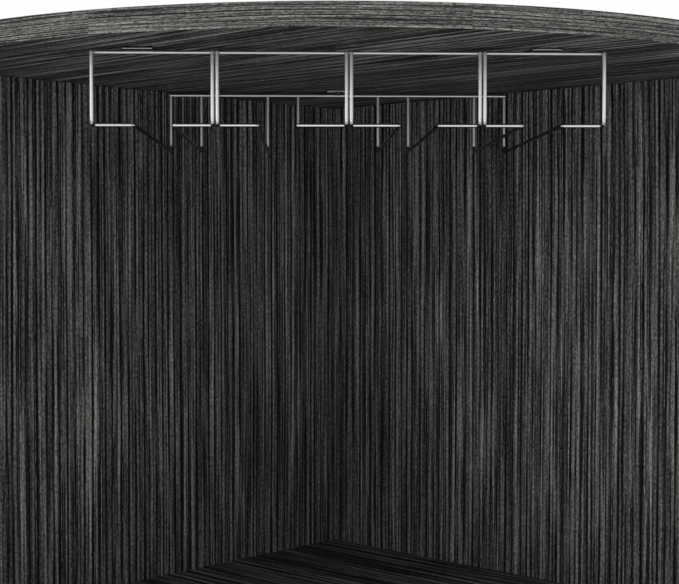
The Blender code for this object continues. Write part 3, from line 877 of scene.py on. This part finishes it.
def make_round_front_boards():
    middle = front_length / 2
    top_seams = sorted(middle - math.radians(angle) * front_radius for angle in top_seam_angles)
    round_front_board("top_panel", "top_board", -board, top_seams, top_painted_light_tone)
    shelf_seams = [middle + shelf_seam_left]
    round_front_board("display_shelf", "display_shelf_board", fit_gap, shelf_seams, shelf_painted_shade_tone)
    round_front_board("counter_panel", "counter_board", fit_gap, [middle - counter_seam_right])


# Doors

def make_doors():
    """Door panels with rounded arrises and corners, and upright grain that follows on from door to door."""
    for name in SIDES:
        node = name + "_door"
        panel = upright_slab(*box(node), corner=0.0012, ease=0.0011, corner_steps=4, ease_steps=arris_steps)
        finish = oak_board(node + "_oak", UP, (1, 0, 0), OAK_SEEDS["doors"])
        add_piece(node + "_panel", panel, finish, [node], node)


def handle_feet(name):
    """Where the feet of a pull's rod stand on its door, and how far the rod's middle line comes forward."""
    low, high = box(name + "_handle")
    across = (low[0] + high[0]) / 2
    heights = (low[2] + handle_radius, high[2] - handle_radius)
    return [np.array([across, high[1], height]) for height in heights], high[1] - low[1] - handle_radius


def make_handles(finish):
    """D pulls: a bent rod between two collars that stand on the door."""
    collar = turned([
        (0, 0),
        (collar_radius, 0),
        *rim(collar_radius, collar_height, collar_ease),
        (handle_radius * collar_inner_share, collar_height),
        (0, collar_height),
    ], handle_sides)
    for name in SIDES:
        (lower, upper), reach = handle_feet(name)
        out = np.array([0, -reach, 0])
        path = rounded_path([lower, lower + out, upper + out, upper], handle_bend, steps=12)
        rod = tube(path, handle_radius, handle_sides, round_ends=False)
        collars = [placed(collar, foot, axes_along((0, -1, 0))) for foot in (lower, upper)]
        pull = joined([rod, *collars])
        add_piece(name + "_pull", pull, finish, [name + "_handle"], name + "_door")


def make_handle_screws(finish):
    """Pan heads on the back of each door, behind the feet of its pull."""
    for name in SIDES:
        back = box(name + "_door")[1][1]
        spots = [(foot[0], back, foot[2]) for foot in handle_feet(name)[0]]
        label = name + "_pull_screws"
        add_headed_piece(label, [], screw_head(), spots, (0, 1, 0), finish, body=name + "_door")


# Stemware rack

def rail_height():
    """Height of the rails' middle lines."""
    return box("rack_rail_left_1")[0][2] + wire_radius


def make_rack_bars(finish):
    """Front and rear bar, each a straight wire with rounded ends."""
    for end in ("front", "rear"):
        node = f"rack_{end}_bar"
        low, high = box(node)
        path = np.linspace(low + wire_radius, high - wire_radius, bar_stations)
        add_piece(f"rack_{end}_rod", tube(path, wire_radius), finish, [node])


def make_rack_rails(finish):
    """Eight rails, each one wire with a weld bead where either end lies against its bar.

    It comes down from the front bar, turns back, then sideways into a short stub, then back, runs to the rear
    bar and turns up. Stubs 1 and 3 of a side lead towards the middle, and the others outwards.
    """
    bar = middle_of("rack_front_bar")[2]
    level = rail_height()
    bends = [wire_bend, stub_bend, stub_bend, rear_bend]
    reach = wire_radius + fit_gap / 2
    for name in SIDES:
        for number in (1, 2, 3, 4):
            node = f"rack_rail_{name}_{number}"
            low, high = box(node)
            low, high = low + wire_radius, high - wire_radius
            inner, outer = sorted((low[0], high[0]), key=abs)
            upright, rail = (outer, inner) if number in (1, 3) else (inner, outer)
            near, far, top = low[1], high[1], high[2]
            wire = rounded_path([
                (upright, near, top),
                (upright, near, level),
                (upright, near + elbow_reach, level),
                (rail, near + elbow_reach, level),
                (rail, far, level),
                (rail, far, top),
            ], bends, steps=8)
            spots = [(upright, near + reach, bar), (rail, far - reach, bar)]
            shape = joined([tube(wire, wire_radius), *(bead(spot, weld_radii) for spot in spots)])
            add_piece(f"rack_wire_{name}_{number}", shape, finish, [node])


def make_rack_tabs(finish):
    """Fixing tabs: thin plates with rounded corners and arrises over the bars."""
    for name in ("left", "right", "rear"):
        node = "rack_tab_" + name
        low, high = box(node)
        outline = rounded_rectangle(low, high, corner=0.0008, steps=6)
        plate = slab(outline, low[2], high[2], ease=0.0006)
        add_piece("rack_plate_" + name, plate, finish, [node])


def make_rack_screws(finish):
    """Pan-head screws up through the tabs, of which only the heads show."""
    for name in ("left", "right", "rear"):
        node = "rack_screw_" + name
        spot = (*middle_of(node)[:2], box(node)[0][2] + pan_height)
        add_headed_piece("rack_fixing_" + name, [], screw_head(), [spot], (0, 0, -1), finish, [node])


# Hinges

def knuckle():
    """Hollow knuckle about Z, with chamfered outer edges and half a fit gap at each end."""
    half = (leaf_height / knuckle_count - fit_gap) / 2
    rim_start = knuckle_radius - knuckle_chamfer
    lower = np.array([(knuckle_bore, -half), (rim_start, -half), (knuckle_radius, knuckle_chamfer - half)])
    profile = np.concatenate([lower, lower[::-1] * (1, -1)])
    return skin(circles(profile, sides=40), looped=True)


def leaf_outline(kind):
    """Outline of a leaf's plate, out from the pin and up, notched for the other leaf's knuckles."""
    half = leaf_height / 2
    span = leaf_height / knuckle_count / 2
    near, far = (leaf_bite, leaf_notch) if kind == "frame" else (leaf_notch, leaf_bite)
    corners = [(near, -half), (leaf_width, -half), (leaf_width, half), (near, half)]
    corners += [(near, span), (far, span), (far, -span), (near, -span)]
    bends = [leaf_square] + [leaf_corner] * 2 + [leaf_square] * 5
    return rounded_path(corners, bends, steps=6, closed=True)


def make_leaf(label, kind, name, place, finish):
    """One leaf of a hinge: its plate, its knuckles about the pin's axis and its flush screws.

    A frame leaf lies behind the pin's axis and a door leaf before it.
    """
    side = SIDES[name]
    way = 1 if kind == "frame" else -1
    inner, outer = way * fit_gap / 2, way * (fit_gap / 2 + leaf_plate)
    low, high = sorted((side * inner, side * outer))
    plate = slab(leaf_outline(kind), low, high, plate_arris, steps=2)
    shapes = [placed(plate, place, [(-side, 0, 0), UP, (0, side, 0)])]
    steps = (-1, 1) if kind == "frame" else (0,)
    shapes += [placed(knuckle(), place + (0, 0, step * leaf_height / knuckle_count)) for step in steps]
    spots = [place + (-side * leaf_screw_out, inner, height) for height in leaf_screw_rows]
    body = "carcass" if kind == "frame" else name + "_door"
    node = f"{label}_{kind}_leaf"
    label = f"{label}_{kind}_plate"
    add_headed_piece(label, shapes, flush_head(), spots, (0, -way, 0), finish, [node], body)


def make_hinges(plain, headed):
    """Butt hinges: two leaves and a headed pin each."""
    half = leaf_height / 2
    for name in SIDES:
        for level in ("lower", "upper"):
            label = f"{name}_{level}_hinge"
            low, high = box(label + "_pin")
            place = middle_of(label + "_pin")
            place[2] = low[2] + half
            for kind in ("frame", "door"):
                make_leaf(label, kind, name, place, headed)
            top = high[2] - place[2]
            pin = turned([
                (0, -half),
                (pin_radius - pin_chamfer, -half),
                (pin_radius, pin_chamfer - half),
                (pin_radius, half + fit_gap),
                (pin_button_radius, half + fit_gap),
                *rim(pin_button_radius, top, pin_button_ease, steps=3),
                (0, top),
            ])
            add_piece(label + "_axle", placed(pin, place), plain, [label + "_pin"])


# Small metal and plastic pieces

def make_catch(metal, plastic):
    """Double magnetic catch with two pole strips a door, and its fixing screw's head."""
    low, high = box("magnetic_catch")
    outline = rounded_rectangle(low, high, plate_corner, steps=5)
    case = slab(outline, low[2], high[2], catch_arris)
    add_piece("catch_case", case, plastic, ["magnetic_catch"])
    middle = middle_of("magnetic_catch")
    half = np.array([pole_length / 2, 0, pole_thickness / 2])
    poles = []
    for side in SIDES.values():
        for step in (-0.5, 0.5):
            face = np.array([side * catch_centre, low[1], middle[2] + step * pole_pitch])
            first = face - half - (0, pole_proud, 0)
            last = face + half + (0, pole_depth, 0)
            poles.append(upright_slab(first, last, pole_corner, pole_arris))
    spots = [(middle[0], middle[1], low[2])]
    add_headed_piece("catch_poles", poles, flush_head(), spots, (0, 0, -1), metal)


def make_strikes(metal):
    """Strike plates on the backs of the doors, each with a flush screw."""
    for name in SIDES:
        node = name + "_strike_plate"
        low, high = box(node)
        middle = middle_of(node)
        plate = upright_slab(low, high, plate_corner, plate_arris)
        spots = [(middle[0], high[1], middle[2])]
        label = name + "_strike"
        add_headed_piece(label, [plate], flush_head(), spots, (0, 1, 0), metal, [node], name + "_door")


def make_shelf_pins(finish):
    """Turned pegs: a shank in the board, and a head with a rounded rim under the shelf."""
    cap = peg_head_length + fit_gap
    tip = peg_ease / 2
    peg = turned([
        (0, -peg_shank_length),
        (peg_shank_radius - tip, -peg_shank_length),
        (peg_shank_radius, tip - peg_shank_length),
        (peg_shank_radius, fit_gap),
        (peg_head_radius - tip / 2, fit_gap),
        (peg_head_radius, fit_gap + tip / 2),
        *rim(peg_head_radius, cap, peg_ease, steps=3),
        (0, cap),
    ])
    reach = (peg_shank_length + peg_shank_radius) * DIAGONAL
    for name, side in SIDES.items():
        for seat, way in (("wall", into_room(side)), ("end", -along_wall(side))):
            node = f"shelf_pin_{name}_{seat}"
            low, high = box(node)
            start = np.where(way > 0, low + reach, high - reach)
            start[2] = middle_of(node)[2]
            label = f"shelf_peg_{name}_{seat}"
            add_piece(label, placed(peg, start, axes_along(way)), finish, [node])


def make_glides(finish):
    """Nail-on glides, each with a rounded foot, an eased top and its nail."""
    seat = glide_seat - fit_gap
    for node in [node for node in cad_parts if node.startswith("glide_")]:
        low, high = box(node)
        radius = (high[0] - low[0]) / 2
        foot = rim(radius, 0, glide_foot_ease)[::-1] * (1, -1)
        glide = turned([
            (0, 0),
            *foot,
            (radius, seat - glide_top_ease),
            (radius - glide_top_ease, seat),
            (nail_radius, seat),
            (nail_radius, high[2] - nail_radius),
            (0, high[2]),
        ])
        place = (*middle_of(node)[:2], 0)
        add_piece(node.replace("glide", "foot"), placed(glide, place), finish, [node])


def make_connectors(finish):
    """Connector heads on the walls' backs: into shelves, end panels and, at the corner, the other wall."""
    levels = [middle_of(node)[2] for node in ("display_shelf", "counter_panel", "cubby_floor", "base_panel")]
    head = screw_head(radius=0.0045, height=0.0003, reach=0.0026)
    for name, side in SIDES.items():
        spots = [(along, height) for along in connector_places for height in levels]
        spots += [(end_connector_at, height) for height in end_connector_heights]
        if name == "left":
            spots += [(-board / 2, height) for height in corner_connector_heights]
        places = [(*by_wall(side, along, -board), height) for along, height in spots]
        add_headed_piece(name + "_wall_connectors", [], head, places, -into_room(side), finish)


# Studio

def make_camera():
    data = bpy.data.cameras.new("camera")
    data.sensor_width = sensor
    data.lens = focal_pixels * sensor / photo_width
    data.clip_start = 0.01
    data.clip_end = 60
    camera = add_to_scene("camera", data)
    camera.location = camera_place
    camera.rotation_euler = (math.radians(90 - camera_down), 0, math.radians(-camera_right))
    bpy.context.scene.camera = camera


def make_lights():
    """Rectangular soft lamps, each turned to face its point."""
    for name, (place, target, width, height, watts) in SOFTBOXES.items():
        data = bpy.data.lights.new(name, "AREA")
        data.shape = "RECTANGLE"
        data.size = width
        data.size_y = height
        data.energy = watts
        lamp = add_to_scene(name, data)
        lamp.location = place
        lamp.rotation_euler = (Vector(target) - Vector(place)).to_track_quat("-Z", "Y").to_euler()


def make_world():
    """Even white studio: plain white to the camera, to reflections and through glass, and softer as fill."""
    world = bpy.data.worlds.new("studio")
    world.use_nodes = True
    nodes = Tree(world.node_tree)
    rays = ("Is Camera Ray", "Is Glossy Ray", "Is Transmission Ray")
    camera, glossy, through = (nodes.node("ShaderNodeLightPath", output=ray) for ray in rays)
    seen = camera.greatest(glossy).greatest(through)
    background = world.node_tree.nodes["Background"]
    background.inputs["Color"].default_value = (1, 1, 1, 1)
    nodes.feed(background.inputs["Strength"], seen * (1 - fill_strength) + fill_strength)
    bpy.context.scene.world = world


def make_floor():
    """Pale floor, a wide sheet under the glides."""
    f = Finish("pale_floor")
    place = f.node("ShaderNodeTexCoord", output="Object")
    x, y = (f.along(place, way, floor_cells) for way in ((1, 0, 0), (0, 1, 0)))
    cloud = f.noise(x, y, detail=3.0)
    tint = f.blend(cloud, toned(grey=0.74), toned(grey=0.80))
    mesh = bpy.data.meshes.new("floor")
    corners = np.array([(-1, -1, 0), (1, -1, 0), (1, 1, 0), (-1, 1, 0)]) * floor_reach
    mesh.from_pydata(corners.tolist(), [], [(0, 1, 2, 3)])
    mesh.materials.append(f.finished(Base_Color=tint, Roughness=0.7))
    add_to_scene("floor", mesh)


def main():
    make_camera()
    make_lights()
    make_world()
    make_floor()
    bpy.context.scene.view_settings.view_transform = "Standard"
    steel = zinc("zinc_plate")
    screwed = zinc("screwed_zinc", headed=True)
    plastic = black_plastic("moulded_black")
    dress_boards()
    make_round_front_boards()
    make_doors()
    make_handles(chrome("chromed_pull", grey=0.60, rough=0.14))
    # The bars and rails are one plated wire in two greys: painted shade on the darker bars and painted light
    # on the lighter rails, whose uprights stand in the top's shade
    make_rack_bars(chrome("chromed_bar_painted_darker", grey=0.48, rough=0.38))
    make_rack_rails(chrome("chromed_rail_painted_light_and_shade", grey=0.63, rough=0.38, painted_shade_below=rail_height() + wire_bend))
    # The tabs' chrome is painted dark: shade for their undersides, which face the dark bay under the top
    # panel
    make_rack_tabs(chrome("chromed_tab_painted_shade", grey=0.20, rough=0.10))
    # Near-black zinc: painted shade for the screw heads that face down under the top panel
    make_rack_screws(zinc("painted_shade_zinc", pale=0.06, dark=0.04, headed=True))
    make_hinges(steel, screwed)
    make_catch(screwed, plastic)
    make_strikes(screwed)
    make_shelf_pins(steel)
    make_glides(plastic)
    make_handle_screws(screwed)
    make_connectors(screwed)


main()
